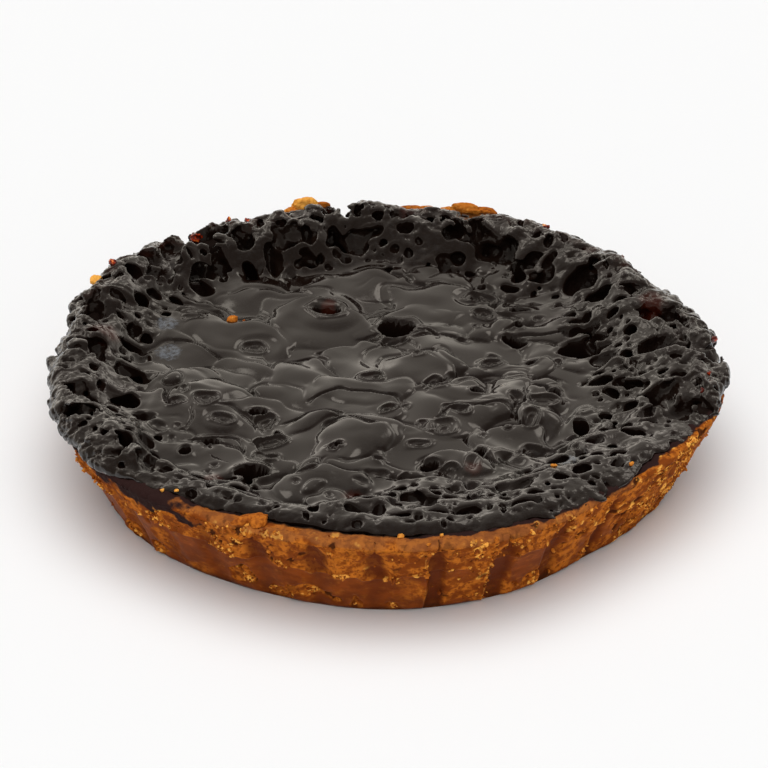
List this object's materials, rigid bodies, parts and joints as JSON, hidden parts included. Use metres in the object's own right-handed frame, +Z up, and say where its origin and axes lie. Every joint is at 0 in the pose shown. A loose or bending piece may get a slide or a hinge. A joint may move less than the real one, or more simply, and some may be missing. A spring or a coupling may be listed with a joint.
{
  "type": "chocolate tart",
  "caption": "Round fluted shortcrust tart, filled with dark chocolate that bubbled over its rim in the oven and set glossy.",
  "frame": {"origin": "middle of the flat underside", "axes": "+Z up through the tart, -Y towards the side where the rim of the case shows, +X to its right"},
  "size_m": [0.1204, 0.1178, 0.021],
  "materials": {
    "crust": "baked shortcrust, orange-brown, crumbly, with oily smooth patches where the tin pressed",
    "filling": "set dark chocolate, glossy in the middle, porous and duller at the rim"
  },
  "bodies": {
    "root": {"crust": "crust", "filling": "filling"}
  },
  "joints": []
}
